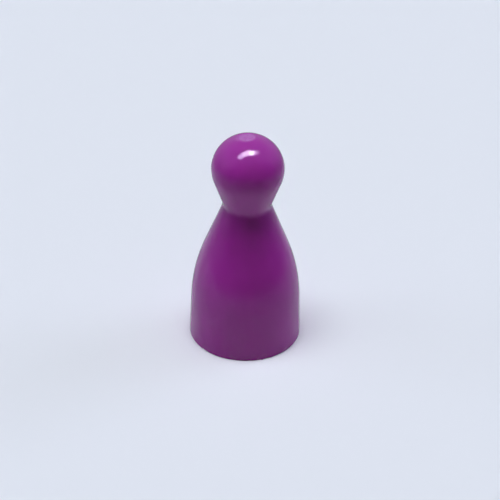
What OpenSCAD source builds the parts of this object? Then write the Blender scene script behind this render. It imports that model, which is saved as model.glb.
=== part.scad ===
// Halma pawn: a ball head on a hollow bell, closed below by a pressed-in plug.
// Lengths are in millimetres. The pawn stands on z = 0, with its axis on z.

/* [Outer form] */
// Overall height of the standing pawn
total_h = 24; // [20:0.5:32]
// Diameter of the foot
base_d = 12; // [10:0.1:16]
// Height of the almost straight skirt
skirt_h = 4.8; // [3:0.1:8]
// Draft of the skirt from upright, in degrees
skirt_draft = 2.2; // [0.5:0.1:4]
// Radius of the long arc that rolls the skirt into the shoulder
bell_r = 18.7; // [8:0.1:24]
// Bevel on the outer edge of the foot
foot_bevel = 0.15; // [0.05:0.05:0.3]
// Diameter at the crease of the neck
neck_d = 5; // [4.2:0.1:6]
// Radius inside the crease of the neck
crease_r = 1; // [0.4:0.1:1.2]
// Height of the head, from the crease of the neck to the crown
head_h = 7.9; // [7:0.1:9]
// Diameter of the ball of the head
head_d = 7.6; // [6.4:0.1:8.4]
// Diameter of the flat that the moulding gate leaves on the crown
gate_d = 1.8; // [0.8:0.1:2.4]

/* [Hollow] */
// Wall of the bell
wall = 1.2; // [0.8:0.1:1.6]
// Width of the rim that the pawn stands on
rim_w = 0.9; // [0.6:0.1:1.2]
// Width of the ledge that the plug seats against
ledge_w = 0.5; // [0.3:0.1:0.8]
// Diameter of the core hole through the neck
core_d = 2.5; // [1.6:0.1:2.8]
// Plastic between the domed end of the core hole and the crown
crown_wall = 2.6; // [1.6:0.1:4]

/* [Plug] */
// Thickness of the plug's disc
plug_t = 1; // [0.6:0.1:1.6]
// Height of the plug's underside above the table
plug_lift = 0.2; // [0.1:0.1:0.5]
// Length of the spigot that goes up into the bore
spigot_h = 2.4; // [1.6:0.1:3.4]
// Wall of the spigot
spigot_wall = 0.9; // [0.6:0.1:1.4]
// Lead-in bevel round the end of the spigot
spigot_bevel = 0.3; // [0.1:0.1:0.5]
// Number of crush ribs round the spigot
rib_count = 6; // [3:1:12]
// Radius of a half-round crush rib
rib_r = 0.25; // [0.15:0.05:0.4]
// Distance from the lead-in bevel down to the top of the ribs
rib_lead = 0.2; // [0.1:0.1:0.6]
// Radial gap between the plug and the shell
fit_gap = 0.02; // [0.01:0.01:0.05]
// Bore left free above the end of the spigot
bore_spare = 0.6; // [0.3:0.1:1.2]
// Diameter of the gate dimple under the plug
dimple_d = 1.6; // [1:0.1:2.4]
// Depth of the gate dimple under the plug
dimple_depth = 0.3; // [0.1:0.1:0.5]

/* [Hidden] */
$fn = 180;
purple = "#86268a";

// Round stretches of an outline stand this far past the straight ones that they run into
lap = 0.001;
// Angle by which the bell's arc carries on under the straight stretches, in degrees
arc_spare = 1.5;
// Largest share of the arc from the skirt to the neck that the bell's arc may have
arc_share = 0.9;

base_r = base_d / 2;
core_r = core_d / 2;
head_r = head_d / 2;

// Angle, seen from mid, at which a straight line from the point p touches a circle of radius r
function touch_angle(p, mid, r, side) = atan2(p.y - mid.y, p.x - mid.x) + side * acos(r / norm(p - mid));
function polar(r, angle) = r * [cos(angle), sin(angle)];

// Outline points are [radius, height]
neck = [neck_d / 2, total_h - head_h];
bell_start = [base_r - skirt_h * tan(skirt_draft), skirt_h];

// The bell's arc is limited so that a straight shoulder stays between it and the neck
shoulder_span = neck - bell_start;
full_arc_r = pow(norm(shoulder_span), 2) / (-2 * shoulder_span * polar(1, skirt_draft));
arc_r = min(bell_r, arc_share * full_arc_r);
bell_mid = bell_start - polar(arc_r, skirt_draft);
shoulder_angle = touch_angle(neck, bell_mid, arc_r, -1);

head_mid = [0, total_h - sqrt(pow(head_r, 2) - pow(gate_d / 2, 2))];
chin_angle = touch_angle(neck, head_mid, head_r - lap, 1);
chin = head_mid + polar(head_r - lap, chin_angle);

// The crease's arc touches the shoulder's cone below and the head's cone above
crease_run = crease_r * tan((shoulder_angle - chin_angle) / 2);
crease_mid = neck + polar(crease_run, shoulder_angle - 90) + polar(crease_r, shoulder_angle);

// The plug's seat and bore follow from the foot
seat_r = base_r - rim_w;
seat_h = plug_lift + plug_t;
bore_r = seat_r - ledge_w;
bore_top = seat_h + spigot_h + bore_spare;
spigot_r = bore_r - fit_gap - rib_r;
spigot_top = seat_h + spigot_h;
rib_low = seat_h - rib_r;
rib_top = spigot_top - spigot_bevel - rib_lead;
core_top = total_h - crown_wall;

// Bell from the foot to radius end_r, moved in from the outside by inset
module bell_outline(inset, end_r) {
    inset_r = arc_r - inset;
    start = bell_mid + polar(inset_r, skirt_draft);
    stop = bell_mid + polar(inset_r, shoulder_angle);
    end_h = stop.y + (stop.x - end_r) / tan(shoulder_angle);
    polygon([[0, 0], [base_r - inset / cos(skirt_draft), 0], start, stop, [end_r, end_h], [0, end_h]]);
    intersection() {
        translate(bell_mid) circle(r = inset_r + lap);
        bell_sector(skirt_draft - arc_spare, shoulder_angle + arc_spare);
    }
}

// Sector between two angles of the bell's arc, cut off at the axis
module bell_sector(low, high) {
    far = 2 * arc_r;
    axis_low = bell_mid.y - bell_mid.x * tan(low);
    axis_high = bell_mid.y - bell_mid.x * tan(high);
    polygon([[0, axis_low], bell_mid + polar(far, low), bell_mid + polar(far, high), [0, axis_high]]);
}

// Ball, cut flat at the crown, on the cone that flares up from the neck
module head_outline() {
    polygon([[0, neck.y], neck, chin, [0, chin.y]]);
    intersection() {
        translate(head_mid) circle(r = head_r);
        translate([0, neck.y]) square([head_d, head_h]);
    }
}

// Plastic that rounds out the crease of the neck
module crease_outline() {
    low = crease_mid - polar(2 * crease_r, shoulder_angle);
    high = crease_mid - polar(2 * crease_r, chin_angle);
    difference() {
        polygon([[0, low.y], low, crease_mid, high, [0, high.y]]);
        translate(crease_mid) circle(r = crease_r + lap);
    }
}

// Corner that the bevel takes off the foot
module foot_corner() {
    polygon([
        [base_r - 2 * foot_bevel, -foot_bevel],
        [base_r + foot_bevel, -foot_bevel],
        [base_r + foot_bevel, 2 * foot_bevel]
    ]);
}

// Space inside the shell: seat, press bore, bell and domed core hole
module hollow_outline() {
    square([seat_r, seat_h]);
    square([bore_r, bore_top]);
    intersection() {
        bell_outline(wall, core_r);
        square([bore_r, total_h]);
    }
    square([core_r, core_top - core_r]);
    translate([0, core_top - core_r]) intersection() {
        circle(r = core_r);
        square(core_r);
    }
}

module pawn_shell() {
    color(purple) rotate_extrude() difference() {
        union() {
            bell_outline(0, neck.x);
            head_outline();
            crease_outline();
        }
        foot_corner();
        hollow_outline();
    }
}

// Disc with its gate dimple, and the spigot with its lead-in bevel
module plug_outline() {
    spigot_in = spigot_r - spigot_wall;
    difference() {
        translate([0, plug_lift]) square([seat_r - fit_gap, plug_t]);
        translate([0, plug_lift]) square([dimple_d / 2, dimple_depth]);
    }
    polygon([
        [spigot_in, seat_h],
        [spigot_r, seat_h],
        [spigot_r, spigot_top - spigot_bevel],
        [spigot_r - spigot_bevel, spigot_top],
        [spigot_in, spigot_top]
    ]);
}

module base_plug() {
    color(purple) union() {
        rotate_extrude() plug_outline();
        for (i = [0 : rib_count - 1])
            rotate([0, 0, i * 360 / rib_count])
                translate([spigot_r, 0, rib_low]) cylinder(r = rib_r, h = rib_top - rib_low);
    }
}

pawn_shell();
base_plug();
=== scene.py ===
import math
import random

import bmesh
import bpy
from mathutils import Matrix, Vector, noise


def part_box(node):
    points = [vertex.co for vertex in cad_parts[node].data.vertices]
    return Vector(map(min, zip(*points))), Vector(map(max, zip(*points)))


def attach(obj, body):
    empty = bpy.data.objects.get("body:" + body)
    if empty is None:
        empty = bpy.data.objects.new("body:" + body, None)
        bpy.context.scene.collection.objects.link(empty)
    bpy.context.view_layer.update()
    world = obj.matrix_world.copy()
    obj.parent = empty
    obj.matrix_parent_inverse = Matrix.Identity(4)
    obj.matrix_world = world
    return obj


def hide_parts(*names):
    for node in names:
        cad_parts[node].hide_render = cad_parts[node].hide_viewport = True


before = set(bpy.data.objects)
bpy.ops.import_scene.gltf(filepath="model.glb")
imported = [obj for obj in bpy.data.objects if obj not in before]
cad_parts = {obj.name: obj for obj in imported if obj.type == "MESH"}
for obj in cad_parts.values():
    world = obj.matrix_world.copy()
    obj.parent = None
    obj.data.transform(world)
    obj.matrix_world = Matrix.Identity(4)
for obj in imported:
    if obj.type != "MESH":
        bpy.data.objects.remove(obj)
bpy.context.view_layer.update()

mm = 0.001  # outlines are drawn in millimetres and brought to metres at the end
scene = bpy.context.scene
scene.view_settings.view_transform = "Standard"


# outline tools: an outline is a chain of edges in the XZ plane, x is the radius

def polar(radius, angle):
    return Vector((radius * math.cos(angle), 0, radius * math.sin(angle)))


def touchAngle(point, mid, radius, side):
    # where a straight line from point touches a circle, as an angle seen from mid
    gap = point - mid
    return math.atan2(gap.z, gap.x) + side * math.acos(radius / gap.length)


def lineTo(bm, vert, x, z, steps=1):
    step = (Vector((x, 0, z)) - vert.co) / steps
    for _ in range(steps):
        vert = bmesh.ops.extrude_vert_indiv(bm, verts=[vert])["verts"][0]
        bmesh.ops.translate(bm, vec=step, verts=[vert])
    return vert


def arcTo(bm, vert, mid, sweep, steps):
    # sweep is positive from +X towards +Z
    made = bmesh.ops.spin(bm, geom=[vert], cent=mid, axis=(0, -1, 0), angle=sweep, steps=steps,
                          use_duplicate=False)
    return [v for v in made["geom_last"] if isinstance(v, bmesh.types.BMVert)][0]


def spinRound(bm, columns):
    bmesh.ops.spin(bm, geom=bm.verts[:] + bm.edges[:], cent=(0, 0, 0), axis=(0, 0, 1),
                   angle=math.tau, steps=columns, use_merge=True, use_duplicate=False)
    bmesh.ops.remove_doubles(bm, verts=bm.verts, dist=1e-5)
    bmesh.ops.recalc_face_normals(bm, faces=bm.faces)


def addObject(bm, name):
    mesh = bpy.data.meshes.new(name)
    bm.to_mesh(mesh)
    bm.free()
    added = bpy.data.objects.new(name, mesh)
    scene.collection.objects.link(added)
    return added


def finishPiece(bm, name, sharpAngle):
    bmesh.ops.scale(bm, vec=(mm, mm, mm), verts=bm.verts)
    piece = addObject(bm, name)
    mesh = piece.data
    mesh.shade_smooth()
    mesh.set_sharp_from_angle(angle=math.radians(sharpAngle))
    print("made", name, "with", len(mesh.vertices), "vertices and", len(mesh.polygons), "faces")
    return piece


def smoothStep(low, high, value):
    t = min(max((value - low) / (high - low), 0), 1)
    return t * t * (3 - 2 * t)


# the pawn's shell: ball head, crease and bell, hollow below

shellSizes = {
    "skirtTop": 4.8,
    "skirtDraft": 2.2,
    "bellRadius": 18.7,
    "footEdge": 0.6,              # the rows are closer below this height
    "footRound": 0.1,
    "neckRadius": 2.5,
    "headHeight": 7.9,
    "headRadius": 3.8,
    "creaseRound": 1.0,
    "gateRadius": 0.9,
    "gateRim": 0.12,
    "gateDish": 0.03,
    "gateNub": 0.32,
    "nubFlat": 0.55,              # share of the nub's radius that is nearly flat
    "nubSink": (0.005, 0.007),    # depth below the crown, in the middle and where the flat ends
    "rimSink": 0.006,
    "rimEase": 1.5,               # degrees between the gate's rim and the true ball
    "gateWay": (-0.62, 0.78, 0),  # the gate leans off the axis, this way and this many degrees
    "gateLean": 4.8,
    "gateReach": (16, 60),        # degrees down the ball over which the lean dies away
    "crownPress": 0.98,
    "rimWidth": 0.9,
    "rimRound": 0.08,
    "seatTop": 1.2,
    "ledgeWidth": 0.5,
    "ledgeBevel": 0.1,
    "wall": 1.2,
    "coreRadius": 1.25,
    "crownWall": 2.6,
    "columns": 300,
    "sharpAngle": 40,
}

shellLow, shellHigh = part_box("pawn_shell")
shellTop = shellHigh.z / mm
shellWide = min(-shellLow.x, -shellLow.y, shellHigh.x, shellHigh.y) / mm


def headMiddle(s):
    return Vector((0, 0, shellTop - math.sqrt(s["headRadius"] ** 2 - s["gateRadius"] ** 2)))


def drawShell(bm, s):
    # the last number of a line or an arc is its count of rows
    draft = math.radians(s["skirtDraft"])
    footStart = Vector((shellWide, 0, s["footRound"] * (1 + math.sin(draft))))
    bellStart = Vector((shellWide - (s["skirtTop"] - footStart.z) * math.tan(draft), 0, s["skirtTop"]))
    bellMid = bellStart - polar(s["bellRadius"], draft)
    neck = Vector((s["neckRadius"], 0, shellTop - s["headHeight"]))
    shoulder = touchAngle(neck, bellMid, s["bellRadius"], -1)
    headMid = headMiddle(s)
    chin = touchAngle(neck, headMid, s["headRadius"], 1)
    creaseRun = s["creaseRound"] * math.tan((shoulder - chin) / 2)
    creaseMid = neck + polar(creaseRun, shoulder - math.pi / 2) + polar(s["creaseRound"], shoulder)

    # crown: a slightly dished gate mark with a low nub
    nub = s["gateNub"]
    nubMiddle, nubEdge = s["nubSink"]
    dishZ = shellTop - s["gateDish"]
    tip = bm.verts.new((0, 0, shellTop - nubMiddle))
    tip = lineTo(bm, tip, nub * s["nubFlat"], shellTop - nubEdge, 1)
    tip = lineTo(bm, tip, nub, dishZ, 2)
    tip = lineTo(bm, tip, s["gateRadius"] - s["gateRim"], dishZ, 5)
    ballStart = math.acos(s["gateRadius"] / s["headRadius"])
    rimPoint = headMid + polar(s["headRadius"], ballStart)
    tip = lineTo(bm, tip, rimPoint.x, rimPoint.z - s["rimSink"], 3)

    # ball, cone to the crease, crease, shoulder, bell and skirt
    ballStart -= math.radians(s["rimEase"])
    ballPoint = headMid + polar(s["headRadius"], ballStart)
    tip = lineTo(bm, tip, ballPoint.x, ballPoint.z)
    tip = arcTo(bm, tip, headMid, chin - ballStart, 64)
    creaseTop = creaseMid - polar(s["creaseRound"], chin)
    tip = lineTo(bm, tip, creaseTop.x, creaseTop.z, 11)
    tip = arcTo(bm, tip, creaseMid, shoulder - chin, 14)
    bellTop = bellMid + polar(s["bellRadius"], shoulder)
    tip = lineTo(bm, tip, bellTop.x, bellTop.z, 19)
    tip = arcTo(bm, tip, bellMid, draft - shoulder, 28)
    edgeZ = s["footEdge"]
    tip = lineTo(bm, tip, shellWide - (edgeZ - footStart.z) * math.tan(draft), edgeZ, 16)
    tip = lineTo(bm, tip, footStart.x, footStart.z, 5)

    # foot
    footMid = footStart - polar(s["footRound"], draft)
    tip = arcTo(bm, tip, footMid, -math.pi / 2 - draft, 8)
    outsideCount = len(bm.verts)

    # rim, plug seat, ledge and press bore
    seat = footStart.x - s["rimWidth"]
    tip = lineTo(bm, tip, seat + s["rimRound"], 0, 2)
    tip = arcTo(bm, tip, Vector((seat + s["rimRound"], 0, s["rimRound"])), -math.pi / 2, 4)
    tip = lineTo(bm, tip, seat, s["seatTop"], 3)
    bore = seat - s["ledgeWidth"]
    tip = lineTo(bm, tip, bore + s["ledgeBevel"], s["seatTop"], 1)
    tip = lineTo(bm, tip, bore, s["seatTop"] + s["ledgeBevel"])

    # inside of the bell, core hole and its domed end
    innerRadius = s["bellRadius"] - s["wall"]
    innerStart = math.acos((bore - bellMid.x) / innerRadius)
    tip = lineTo(bm, tip, bore, bellMid.z + innerRadius * math.sin(innerStart), 5)
    tip = arcTo(bm, tip, bellMid, shoulder - innerStart, 14)
    innerTop = bellMid + polar(innerRadius, shoulder)
    core = s["coreRadius"]
    tip = lineTo(bm, tip, core, innerTop.z + (innerTop.x - core) / math.tan(shoulder), 6)
    domeMid = Vector((0, 0, shellTop - s["crownWall"] - core))
    tip = lineTo(bm, tip, core, domeMid.z, 6)
    arcTo(bm, tip, domeMid, math.pi / 2, 8)
    return outsideCount


# marks that the mould and the play leave on the outside of the shell

shellMarks = {
    "wave": 2.4,                # length of the slow waves in the skin
    "waveDepth": 0.006,
    "gateWave": 0.45,           # the torn gate is less even
    "gateWaveDepth": 0.016,
    "gateZone": 0.2,            # this far below the crown, and fading this far outside the gate
    "gateFade": 0.3,
    "seamHeight": 0.012,        # ridge in the plane where the mould halves met
    "seamHalf": 0.05,
    "seamFade": (0.5, 1.2),     # trimmed away towards the foot, between these heights
    "burrs": ((289, 1.7, 0.07), (299, 1.3, 0.05)),  # angle, half width in degrees, height
    "burrTop": 0.35,
    "nickSeed": 5,
    "nickCount": 14,
    "nickTop": 0.25,
    "nickReach": (0.15, 0.32),
    "nickDepth": (0.015, 0.045),
}


def cutSeam(bm, outer, half):
    # two cuts beside the ridge, through the outside only
    for side in (-half, half):
        skin = [f for f in bm.faces if all(v[outer] > 0.5 for v in f.verts)]
        edges = list({e for f in skin for e in f.edges})
        verts = list({v for f in skin for v in f.verts})
        bmesh.ops.bisect_plane(bm, geom=verts + edges + skin, dist=1e-4, plane_co=(0, side, 0),
                               plane_no=(0, 1, 0))


def throwNicks(foot, m):
    rand = random.Random(m["nickSeed"])
    nicks = []
    for _ in range(m["nickCount"]):
        turn = Matrix.Rotation(rand.uniform(0, math.tau), 3, "Z")
        spot = turn @ Vector((foot, 0, rand.uniform(0, m["nickTop"])))
        nicks.append((spot, rand.uniform(*m["nickReach"]), rand.uniform(*m["nickDepth"])))
    return nicks


def swell(place, length):
    # slow noise between 0 and 1
    return 0.5 + 0.5 * noise.noise(place / length)


def markShell(bm, outer, s, m):
    cutSeam(bm, outer, m["seamHalf"])
    bm.normal_update()
    foot = max(v.co.x for v in bm.verts)
    nicks = throwNicks(foot, m)
    nickZone = m["nickTop"] + m["nickReach"][1]
    for v in [v for v in bm.verts if v[outer] > 0.5]:
        place = v.co.copy()
        radius = math.hypot(place.x, place.y)
        onBall = smoothStep(s["gateRadius"], s["gateRadius"] + m["gateFade"], radius)
        raised = -m["waveDepth"] * swell(place, m["wave"])
        if place.z > shellTop - m["gateZone"]:
            raised -= (1 - onBall) * m["gateWaveDepth"] * swell(place, m["gateWave"])
        if abs(place.y) < m["seamHalf"]:
            ridge = m["seamHeight"] * (1 - abs(place.y) / m["seamHalf"])
            raised += ridge * onBall * smoothStep(*m["seamFade"], place.z)
        if place.z < nickZone:
            for spot, reach, depth in nicks:
                near = (place - spot).length / reach
                if near < 1:
                    raised -= depth * (1 - near ** 2) ** 2
        v.co += v.normal * raised
        if place.z < m["burrTop"]:
            angle = math.degrees(math.atan2(place.y, place.x)) % 360
            for middle, half, height in m["burrs"]:
                aside = abs(angle - middle) / half
                if aside < 1:
                    grown = height * (1 - aside ** 2) * (1 - place.z / m["burrTop"])
                    v.co += Vector((place.x, place.y, 0)).normalized() * grown


def settleCrown(bm, outer, s):
    # turns the upper ball under the gate, and presses it a little flat
    mid = headMiddle(s)
    up = Vector((0, 0, 1))
    axis = up.cross(Vector(s["gateWay"]))
    for v in bm.verts:
        out = v.co - mid
        if v[outer] > 0.5 and out.z > 0:
            down = math.degrees(out.angle(up))
            lean = s["gateLean"] * (1 - smoothStep(*s["gateReach"], down))
            out.rotate(Matrix.Rotation(math.radians(lean), 3, axis))
            out.z *= s["crownPress"]
            v.co = mid + out


def makeShell(s, m):
    bm = bmesh.new()
    outer = bm.verts.layers.float.new("outer")
    outsideCount = drawShell(bm, s)
    for count, v in enumerate(bm.verts):
        v[outer] = count < outsideCount
    spinRound(bm, s["columns"])
    markShell(bm, outer, s, m)
    settleCrown(bm, outer, s)
    bm.verts.layers.float.remove(outer)
    return finishPiece(bm, "pawn_body", s["sharpAngle"])


# the plug: disc with a gate dimple, spigot with crush ribs

plugSizes = {
    "underside": 0.2,
    "thickness": 1.0,
    "discRadius": 5.08,
    "discRound": 0.1,
    "dimpleRadius": 0.8,
    "dimpleDepth": 0.3,
    "nubRadius": 0.3,
    "nubHeight": 0.12,
    "edgeBevel": 0.05,
    "spigotRadius": 4.33,
    "spigotWall": 0.9,
    "spigotTop": 3.6,
    "spigotBevel": 0.3,
    "ribCount": 6,
    "ribRadius": 0.25,
    "ribTop": 3.1,
    "ribTaper": 0.4,
    "columns": 480,
    "sharpAngle": 30,
}


def drawPlug(bm, s):
    low = s["underside"]
    top = low + s["thickness"]
    roof = low + s["dimpleDepth"]
    bevel = s["edgeBevel"]

    # dimple with the stub of the gate
    tip = bm.verts.new((0, 0, roof - s["nubHeight"]))
    tip = lineTo(bm, tip, s["nubRadius"] - bevel, roof - s["nubHeight"], 2)
    tip = lineTo(bm, tip, s["nubRadius"], roof - s["nubHeight"] + bevel)
    tip = lineTo(bm, tip, s["nubRadius"], roof, 1)
    tip = lineTo(bm, tip, s["dimpleRadius"] - bevel, roof, 3)
    tip = lineTo(bm, tip, s["dimpleRadius"], roof - bevel)
    tip = lineTo(bm, tip, s["dimpleRadius"], low + bevel, 2)
    tip = lineTo(bm, tip, s["dimpleRadius"] + bevel, low)

    # disc
    discRound = s["discRound"]
    inset = s["discRadius"] - discRound
    tip = lineTo(bm, tip, inset, low, 12)
    tip = arcTo(bm, tip, Vector((inset, 0, low + discRound)), math.pi / 2, 5)
    tip = lineTo(bm, tip, s["discRadius"], top - discRound, 2)
    tip = arcTo(bm, tip, Vector((inset, 0, top - discRound)), math.pi / 2, 5)

    # spigot
    spigot = s["spigotRadius"]
    inner = spigot - s["spigotWall"]
    tip = lineTo(bm, tip, spigot, top, 2)
    tip = lineTo(bm, tip, spigot, s["ribTop"] - s["ribTaper"], 6)
    tip = lineTo(bm, tip, spigot, s["ribTop"], 5)
    tip = lineTo(bm, tip, spigot, s["spigotTop"] - s["spigotBevel"], 1)
    tip = lineTo(bm, tip, spigot - s["spigotBevel"], s["spigotTop"], 2)
    tip = lineTo(bm, tip, inner + bevel, s["spigotTop"], 2)
    tip = lineTo(bm, tip, inner, s["spigotTop"] - bevel)
    tip = lineTo(bm, tip, inner, top, 6)
    lineTo(bm, tip, 0, top, 9)


def raiseRibs(bm, s):
    # half-round ribs, tapered at the top so that the plug starts easily in its bore
    top = s["underside"] + s["thickness"]
    step = math.tau / s["ribCount"]
    slack = 1e-3
    for v in bm.verts:
        onWall = abs(math.hypot(v.co.x, v.co.y) - s["spigotRadius"]) < slack
        if onWall and top - slack < v.co.z < s["ribTop"] + slack:
            aside = (math.atan2(v.co.y, v.co.x) + step / 2) % step - step / 2
            across = s["spigotRadius"] * math.sin(aside)
            if abs(across) < s["ribRadius"]:
                grown = math.sqrt(s["ribRadius"] ** 2 - across ** 2)
                grown *= 1 - smoothStep(s["ribTop"] - s["ribTaper"], s["ribTop"], v.co.z)
                v.co += Vector((v.co.x, v.co.y, 0)).normalized() * grown


def makePlug(s):
    bm = bmesh.new()
    drawPlug(bm, s)
    spinRound(bm, s["columns"])
    raiseRibs(bm, s)
    return finishPiece(bm, "foot_plug", s["sharpAngle"])


# node tools

def addNode(tree, kind, inputs, **settings):
    # an input is a socket to link from, or a plain value
    node = tree.nodes.new("ShaderNode" + kind)
    for name, value in settings.items():
        setattr(node, name, value)
    for name, value in inputs.items():
        if isinstance(value, bpy.types.NodeSocket):
            tree.links.new(value, node.inputs[name])
        else:
            node.inputs[name].default_value = value
    return node


def objectSpot(tree):
    return addNode(tree, "TexCoord", {}).outputs["Object"]


def splitNode(tree, vector):
    return addNode(tree, "SeparateXYZ", {"Vector": vector}).outputs


def rangeNode(tree, value, low, high, toLow=0.0, toHigh=1.0):
    ends = {"From Min": low, "From Max": high, "To Min": toLow, "To Max": toHigh}
    node = addNode(tree, "MapRange", {"Value": value, **ends}, interpolation_type="SMOOTHSTEP")
    return node.outputs["Result"]


def mathNode(tree, operation, first, second):
    return addNode(tree, "Math", {0: first, 1: second}, operation=operation).outputs[0]


def vectorNode(tree, operation, first, second=(0, 0, 0)):
    node = addNode(tree, "VectorMath", {0: first, 1: second}, operation=operation)
    return node.outputs["Vector" if operation == "NORMALIZE" else "Value"]


def mixNode(tree, factor, first, second):
    node = addNode(tree, "Mix", {"Factor": factor, "A": first, "B": second}, data_type="RGBA")
    return node.outputs["Result"]


def noiseNode(tree, vector, scale, detail, roughness=0.5):
    look = {"Scale": scale, "Detail": detail, "Roughness": roughness}
    return addNode(tree, "TexNoise", {"Vector": vector, **look}).outputs[0]


def startGroup(name, values, masks):
    # each group reads a vector and some plain values, and puts out masks
    group = bpy.data.node_groups.new(name, "ShaderNodeTree")
    group.interface.new_socket("Vector", in_out="INPUT", socket_type="NodeSocketVector")
    for label in values:
        group.interface.new_socket(label, in_out="INPUT", socket_type="NodeSocketFloat")
    for label in masks:
        group.interface.new_socket(label, in_out="OUTPUT", socket_type="NodeSocketFloat")
    return group, group.nodes.new("NodeGroupInput").outputs, group.nodes.new("NodeGroupOutput").inputs


# moulded skin: slow drift of the pigment, hazy patches, and a fine orange peel

def makeSkinGroup():
    group, given, made = startGroup("mouldedSkin", ("Drift Scale", "Haze Scale", "Peel Scale"),
                                    ("Drift", "Haze", "Peel"))
    drift = noiseNode(group, given["Vector"], given["Drift Scale"], 2.0)
    haze = noiseNode(group, given["Vector"], given["Haze Scale"], 5.0, 0.62)
    peel = noiseNode(group, given["Vector"], given["Peel Scale"], 1.0)
    group.links.new(rangeNode(group, drift, 0.3, 0.7), made["Drift"])
    group.links.new(rangeNode(group, haze, 0.35, 0.7), made["Haze"])
    group.links.new(peel, made["Peel"])
    return group


# play wear and painted sheen: rubbed patches near a standing edge, paler partly from wear and partly as a
# painted reflection of the pale floor; and sparse hairline scratches all over

scratchLook = {
    "grain": (130, 2400, 1100),  # per metre: long one way, thin the others
    "turns": ((0.4, 0.9, 0.3), (1.2, 0.2, 2.1)),
    "shifts": ((0, 0, 0), (7, 7, 7)),
}


def makeWearSheenGroup(s):
    group, given, made = startGroup("wearAndFootSheen", ("Rub Sheen Height", "Rub Sheen Scale"), ("Rub Sheen", "Scratch"))
    height = splitNode(group, given["Vector"])["Z"]
    share = mathNode(group, "DIVIDE", height, given["Rub Sheen Height"])
    # strongest at the foot, gone by the given height: partly rubbing, partly a painted reflection of the
    # pale floor
    band = rangeNode(group, share, 0.1, 1.0, 1.0, 0.0)
    patch = noiseNode(group, given["Vector"], given["Rub Sheen Scale"], 5.0, 0.65)
    rubSheen = mathNode(group, "MULTIPLY", band, rangeNode(group, patch, 0.48, 0.72))
    lines = []
    for turn, shift in zip(s["turns"], s["shifts"]):
        turned = addNode(group, "Mapping", {"Vector": given["Vector"], "Rotation": turn,
                                            "Location": shift, "Scale": s["grain"]})
        streak = noiseNode(group, turned.outputs["Vector"], 1.0, 1.0)
        lines.append(rangeNode(group, streak, 0.70, 0.76))
    scratch = mathNode(group, "MAXIMUM", lines[0], lines[1])
    group.links.new(rubSheen, made["Rub Sheen"])
    group.links.new(scratch, made["Scratch"])
    return group


# gate scar: the dull, stressed plastic where the sprue was twisted off

def makeScarGroup():
    group, given, made = startGroup("gateScar", ("Radius", "Level", "Depth", "Mottle Scale"), ("Scar",))
    parts = splitNode(group, given["Vector"])
    flat = addNode(group, "CombineXYZ", {"X": parts["X"], "Y": parts["Y"]}).outputs["Vector"]
    out = vectorNode(group, "LENGTH", flat)
    inside = rangeNode(group, mathNode(group, "DIVIDE", out, given["Radius"]), 0.86, 1.02, 1.0, 0.0)
    gap = mathNode(group, "ABSOLUTE", mathNode(group, "SUBTRACT", parts["Z"], given["Level"]), 0.0)
    near = rangeNode(group, mathNode(group, "DIVIDE", gap, given["Depth"]), 0.6, 1.0, 1.0, 0.0)
    mottle = noiseNode(group, given["Vector"], given["Mottle Scale"], 3.0, 0.6)
    spotted = mathNode(group, "MULTIPLY", inside, rangeNode(group, mottle, 0.3, 0.65, 0.35, 1.0))
    group.links.new(mathNode(group, "MULTIPLY", spotted, near), made["Scar"])
    return group


skinGroup = makeSkinGroup()
wearSheenGroup = makeWearSheenGroup(scratchLook)
scarGroup = makeScarGroup()
print("made the node groups for skin, wear and scar")


# purple plastic: the shell is glossy, the plug duller; sizes in metres, scales per metre

shellFinish = {
    "deep": (0.330, 0.0150, 0.285, 1),
    "light": (0.365, 0.0185, 0.318, 1),
    # paler tone near the foot: partly rubbed plastic, partly a painted reflection of the pale floor
    "wornSheen": (0.50, 0.24, 0.47, 1),
    "wornSheenShare": 0.35,
    "scarTone": (0.44, 0.10, 0.45, 1),
    "scarShare": 0.45,
    "roughness": (0.08, 0.125),
    "wornRoughness": 0.18,
    "scarRoughness": 0.10,
    "scratchRoughness": 0.10,
    "specular": 0.40,
    "translucency": 0.10,
    "bleed": (1.0, 0.12, 0.55),
    "bleedDepth": 0.0006,
    "drift": 210.0,
    "haze": 420.0,
    "peel": 2100.0,
    "peelDepth": 0.0000012,
    "scratchHeight": -0.25,
    "rubSheenHeight": 0.0009,
    "rubSheenScale": 900.0,
    "gateRadius": 0.0009,
    "gateLevel": 0.024,
    "gateDepth": 0.0003,
    "gateMottle": 2300.0,
    "gateShift": (0.00019, -0.00024, 0),  # brings the leaning gate back to the axis
}
plugFinish = dict(
    shellFinish,
    deep=(0.285, 0.0140, 0.240, 1),
    light=(0.320, 0.0175, 0.272, 1),
    roughness=(0.26, 0.42),
    peel=5200.0,
    peelDepth=0.0000030,
    rubSheenHeight=0.0004,
    gateRadius=0.0003,
    gateLevel=0.00038,
    gateDepth=0.0001,
    gateShift=(0, 0, 0),
)


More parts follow.
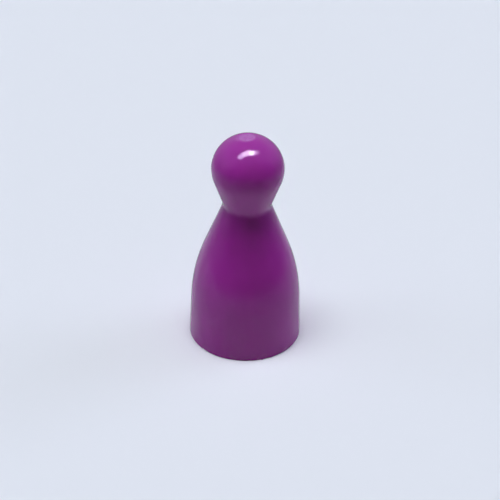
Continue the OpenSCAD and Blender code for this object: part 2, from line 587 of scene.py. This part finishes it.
def makePlastic(name, f):
    mat = bpy.data.materials.new(name)
    mat.use_nodes = True
    tree = mat.node_tree
    shader = tree.nodes["Principled BSDF"]
    spot = objectSpot(tree)
    gateSpot = addNode(tree, "Mapping", {"Vector": spot, "Location": f["gateShift"]}).outputs["Vector"]
    skin = addNode(tree, "Group", {"Vector": spot, "Drift Scale": f["drift"], "Haze Scale": f["haze"],
                                   "Peel Scale": f["peel"]}, node_tree=skinGroup).outputs
    wearSheen = addNode(tree, "Group", {"Vector": spot, "Rub Sheen Height": f["rubSheenHeight"],
                                   "Rub Sheen Scale": f["rubSheenScale"]}, node_tree=wearSheenGroup).outputs
    scar = addNode(tree, "Group", {"Vector": gateSpot, "Radius": f["gateRadius"], "Level": f["gateLevel"],
                                   "Depth": f["gateDepth"], "Mottle Scale": f["gateMottle"]},
                   node_tree=scarGroup).outputs

    # colour: drifting pigment, paler on the gate, and paler where rubbed near the foot: partly wear,
    # partly a painted reflection of the pale floor
    pigment = mixNode(tree, skin["Drift"], f["deep"], f["light"])
    rubSheenShare = mathNode(tree, "MULTIPLY", wearSheen["Rub Sheen"], f["wornSheenShare"])
    scarShare = mathNode(tree, "MULTIPLY", scar["Scar"], f["scarShare"])
    rubbedSheen = mixNode(tree, rubSheenShare, pigment, f["wornSheen"])
    tree.links.new(mixNode(tree, scarShare, rubbedSheen, f["scarTone"]), shader.inputs["Base Color"])

    # gloss: hazy patches, dull where rubbed, scratched or torn
    rough = rangeNode(tree, skin["Haze"], 0.0, 1.0, *f["roughness"])
    for mask, share in ((wearSheen["Rub Sheen"], "wornRoughness"), (wearSheen["Scratch"], "scratchRoughness"),
                        (scar["Scar"], "scarRoughness")):
        rough = mathNode(tree, "ADD", rough, mathNode(tree, "MULTIPLY", mask, f[share]))
    tree.links.new(rough, shader.inputs["Roughness"])

    # relief: orange peel, and scratches cut into it
    cut = mathNode(tree, "MULTIPLY", wearSheen["Scratch"], f["scratchHeight"])
    relief = mathNode(tree, "ADD", skin["Peel"], cut)
    bump = addNode(tree, "Bump", {"Height": relief, "Strength": 1.0, "Distance": f["peelDepth"]})
    tree.links.new(bump.outputs["Normal"], shader.inputs["Normal"])

    shader.inputs["Specular IOR Level"].default_value = f["specular"]
    shader.inputs["Subsurface Weight"].default_value = f["translucency"]
    shader.inputs["Subsurface Radius"].default_value = f["bleed"]
    shader.inputs["Subsurface Scale"].default_value = f["bleedDepth"]
    return mat


shell = makeShell(shellSizes, shellMarks)
plug = makePlug(plugSizes)
shell.data.materials.append(makePlastic("shellPlastic", shellFinish))
plug.data.materials.append(makePlastic("plugPlastic", plugFinish))
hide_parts("pawn_shell")
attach(shell, "shell")
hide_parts("base_plug")
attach(plug, "plug")


# stage: a pale floor, whose bounce on the pawn is a little dimmer and warmer than it looks

floorLook = {
    "halfSize": 3.0,
    "seen": (0.785, 0.775, 0.790, 1),
    "bounce": (0.54, 0.46, 0.51, 1),
    "roughness": 0.9,
    "specular": 0.1,
}


def addStage(bm, name):
    added = addObject(bm, name)
    mat = bpy.data.materials.new(name)
    mat.use_nodes = True
    added.data.materials.append(mat)
    return added, mat.node_tree


def makeFloor(s):
    bm = bmesh.new()
    bmesh.ops.create_grid(bm, x_segments=1, y_segments=1, size=s["halfSize"])
    _, tree = addStage(bm, "floor")
    shader = tree.nodes["Principled BSDF"]
    path = addNode(tree, "LightPath", {})
    tone = mixNode(tree, path.outputs["Is Diffuse Ray"], s["seen"], s["bounce"])
    tree.links.new(tone, shader.inputs["Base Color"])
    shader.inputs["Roughness"].default_value = s["roughness"]
    shader.inputs["Specular IOR Level"].default_value = s["specular"]


makeFloor(floorLook)


# two dark flags that only reflections meet: a card on the floor with a soft oval hole round the pawn,
# and a hood that closes off the side of the camera

cardLook = {
    "radius": 1.5,
    "height": 0.0005,
    "tone": (0.19, 0.18, 0.18, 1),
    "stretch": (0.65, 1, 1),
    "shift": (0.011, -0.008, 0),
    "holeReach": (0.016, 0.060),
    "holeClear": (0.86, 0.38),
    "shadeMid": (0, 0.015, 0),
    "shadeReach": (0.005, 0.0195),
    "shadeClear": (0.2, 1.0),
    "graze": (0.70, 0.92),
    "front": (0.208, -0.978, 0),
    "frontReach": (-0.35, 0.45),
}
hoodLook = {
    "radius": 2.9,
    "way": (0.188, -0.886, -0.423),
    "reach": (-0.16, 0.36),
    "low": (0.20, 0.20, 0.20, 1),
    "high": (0.46, 0.44, 0.45, 1),
    "rise": (0.2, 0.95),
}


def makeFlag(flag, tree, clearness, tone):
    # the flag glows at its tone, so that it looks alike from everywhere
    tree.nodes.remove(tree.nodes["Principled BSDF"])
    glow = addNode(tree, "Emission", {"Color": tone})
    clear = addNode(tree, "BsdfTransparent", {})
    mix = addNode(tree, "MixShader", {0: clearness, 1: glow.outputs[0], 2: clear.outputs[0]})
    tree.links.new(mix.outputs[0], tree.nodes["Material Output"].inputs["Surface"])
    flag.visible_camera = False
    flag.visible_diffuse = False
    flag.visible_shadow = False
    flag.visible_transmission = False


def makeCard(s):
    bm = bmesh.new()
    bmesh.ops.create_circle(bm, cap_ends=True, radius=s["radius"], segments=96)
    bmesh.ops.translate(bm, vec=(0, 0, s["height"]), verts=bm.verts)
    card, tree = addStage(bm, "darkCard")
    spot = objectSpot(tree)
    oval = addNode(tree, "Mapping", {"Vector": spot, "Scale": s["stretch"], "Location": s["shift"]})
    out = vectorNode(tree, "LENGTH", oval.outputs["Vector"])
    hole = rangeNode(tree, out, *s["holeReach"], *s["holeClear"])

    # painted shade: the card darkens the reflected floor close behind the pawn, where the pawn's shadow
    # lies
    behind = vectorNode(tree, "DISTANCE", spot, s["shadeMid"])
    shade = rangeNode(tree, behind, *s["shadeReach"], *s["shadeClear"])
    hole = mathNode(tree, "MULTIPLY", hole, shade)

    # a flat look from the front finds it closed
    facing = vectorNode(tree, "DOT_PRODUCT", vectorNode(tree, "NORMALIZE", spot), s["front"])
    front = rangeNode(tree, facing, *s["frontReach"])
    flatLook = addNode(tree, "LayerWeight", {"Blend": 0.5}).outputs["Facing"]
    closed = mathNode(tree, "MULTIPLY", rangeNode(tree, flatLook, *s["graze"]), front)
    opened = mathNode(tree, "SUBTRACT", 1.0, closed)
    makeFlag(card, tree, mathNode(tree, "MULTIPLY", hole, opened), s["tone"])


def makeHood(s):
    bm = bmesh.new()
    bmesh.ops.create_uvsphere(bm, u_segments=64, v_segments=32, radius=s["radius"])
    bmesh.ops.bisect_plane(bm, geom=bm.verts[:] + bm.edges[:] + bm.faces[:], plane_co=(0, 0, 0),
                           plane_no=(0, 0, 1), clear_inner=True)
    hood, tree = addStage(bm, "darkHood")
    way = vectorNode(tree, "NORMALIZE", objectSpot(tree))
    facing = vectorNode(tree, "DOT_PRODUCT", way, s["way"])
    height = splitNode(tree, way)["Z"]
    tone = mixNode(tree, rangeNode(tree, height, *s["rise"]), s["low"], s["high"])
    makeFlag(hood, tree, rangeNode(tree, facing, *s["reach"], 1.0, 0.0), tone)


makeCard(cardLook)
makeHood(hoodLook)


# lamps, placed by their middle on a ceiling at height 1 and then raised, each to its own height so that
# none hides another: an overhead key for the plastic's colour, and five parts of a streak that only
# shows as highlight

keyTint = (0.90, 0.97, 1.055)
lamps = {
    "keyBox": {"mid": (-0.08, 0.00), "size": (0.62, 0.36), "turn": 14, "height": 2.00,
               "radiance": 12.0, "tint": keyTint, "for": "diffuse"},
    "keyStrip": {"mid": (-0.30, -0.06), "size": (1.40, 0.16), "turn": 14, "height": 2.05,
                 "radiance": 2.0, "tint": keyTint, "for": "diffuse"},
    "tailLamp": {"mid": (-0.40, -0.295), "size": (0.34, 0.28), "turn": 34, "height": 1.95,
                 "radiance": 12.5, "tint": (1.0, 0.82, 1.25), "for": "glossy"},
    "stripLamp": {"mid": (-0.08, -0.14), "size": (0.40, 0.28), "turn": 20, "height": 1.90,
                  "radiance": 19.0, "tint": (1.0, 0.86, 1.12), "for": "glossy"},
    "panelLamp": {"mid": (0.175, -0.09), "size": (0.20, 0.28), "turn": 10, "height": 1.85,
                  "radiance": 31.0, "tint": (1.0, 0.94, 1.10), "for": "glossy"},
    "endLamp": {"mid": (0.33, -0.02), "size": (0.20, 0.25), "turn": 24, "height": 1.80,
                "radiance": 11.0, "tint": (1.0, 0.82, 1.15), "for": "glossy"},
    "fadeLamp": {"mid": (0.47, 0.045), "size": (0.18, 0.24), "turn": 30, "height": 1.75,
                 "radiance": 4.5, "tint": (1.0, 0.82, 1.15), "for": "glossy"},
}


def hangLamp(name, s, size, place):
    data = bpy.data.lights.new(name, "AREA")
    data.shape = "RECTANGLE"
    data.size, data.size_y = size
    data.energy = s["radiance"] * math.pi * data.size * data.size_y
    data.color = s["tint"]
    lamp = bpy.data.objects.new(name, data)
    lamp.matrix_world = place
    lamp.visible_diffuse = s["for"] == "diffuse"
    lamp.visible_glossy = s["for"] == "glossy"
    scene.collection.objects.link(lamp)


def makeLamp(name, s):
    high = s["height"]
    middle = Vector((*s["mid"], 1)) * high
    turn = Matrix.Rotation(math.radians(s["turn"]), 4, "Z")
    hangLamp(name, s, [side * high for side in s["size"]], Matrix.Translation(middle) @ turn)


for lampName, lampSizes in lamps.items():
    makeLamp(lampName, lampSizes)


# panels round the pawn, turned to face it: two low ones for its rims, one that the flat crown mirrors

panelTint = (0.84, 0.94, 1.22)
panels = {
    "rimRight": {"azimuth": 112, "elevation": 20, "distance": 1.2, "size": 0.7,
                 "radiance": 2.6, "tint": panelTint, "for": "diffuse"},
    "rimLeft": {"azimuth": 266, "elevation": 16, "distance": 1.2, "size": 0.7,
                "radiance": 1.4, "tint": panelTint, "for": "diffuse"},
    "backPanel": {"azimuth": 190, "elevation": 30, "distance": 2.0, "size": 0.7,
                  "radiance": 0.8, "tint": panelTint, "for": "glossy"},
}


def makePanel(name, s):
    turn = math.radians(s["azimuth"])
    lift = math.radians(s["elevation"])
    out = Vector((math.cos(lift) * math.sin(turn), -math.cos(lift) * math.cos(turn), math.sin(lift)))
    facing = out.to_track_quat("Z", "Y").to_matrix().to_4x4()
    hangLamp(name, s, (s["size"], s["size"]), Matrix.Translation(out * s["distance"]) @ facing)


for panelName, panelSizes in panels.items():
    makePanel(panelName, panelSizes)


# surroundings: a pale backdrop for the camera and for reflections, and a faint fill for the rest

roomLook = {
    "low": (0.46, 0.48, 0.54, 1),
    "high": (0.66, 0.69, 0.76, 1),
    "rise": (0.05, 0.45),
    "fill": (0.02, 0.02, 0.02, 1),
}


def makeRoom(s):
    world = bpy.data.worlds.new("room")
    scene.world = world
    world.use_nodes = True
    tree = world.node_tree
    path = addNode(tree, "LightPath", {})
    seen = mathNode(tree, "MAXIMUM", path.outputs["Is Camera Ray"], path.outputs["Is Glossy Ray"])
    seen = mathNode(tree, "MAXIMUM", seen, path.outputs["Is Transmission Ray"])
    height = splitNode(tree, addNode(tree, "TexCoord", {}).outputs["Generated"])["Z"]
    pale = mixNode(tree, rangeNode(tree, height, *s["rise"]), s["low"], s["high"])
    tree.links.new(mixNode(tree, seen, s["fill"], pale), tree.nodes["Background"].inputs["Color"])


makeRoom(roomLook)
print("set the floor, flags, lamps and room")


# camera, at the photograph's place; lengths in millimetres

photoView = {
    "elevation": 33.72,
    "distance": 190.0,
    "facing": (0, 0, 11.0),
    "aim": (0.394, -0.377, 10.487),
    "roll": 1.238,
    "lens": 129.3,
    "sensor": 36,
    "nearest": 10,
}


def makeCamera(s):
    data = bpy.data.cameras.new("photoCamera")
    data.lens = s["lens"]
    data.sensor_width = s["sensor"]
    data.clip_start = s["nearest"] * mm
    camera = bpy.data.objects.new("photoCamera", data)
    lift = math.radians(s["elevation"])
    back = Vector((0, -math.cos(lift), math.sin(lift)))
    place = (Vector(s["facing"]) + back * s["distance"]) * mm
    look = Vector(s["aim"]) * mm - place
    turn = look.to_track_quat("-Z", "Y").to_matrix().to_4x4()
    roll = Matrix.Rotation(math.radians(s["roll"]), 4, "Z")
    camera.matrix_world = Matrix.Translation(place) @ turn @ roll
    scene.collection.objects.link(camera)
    scene.camera = camera


makeCamera(photoView)
print("placed the camera")
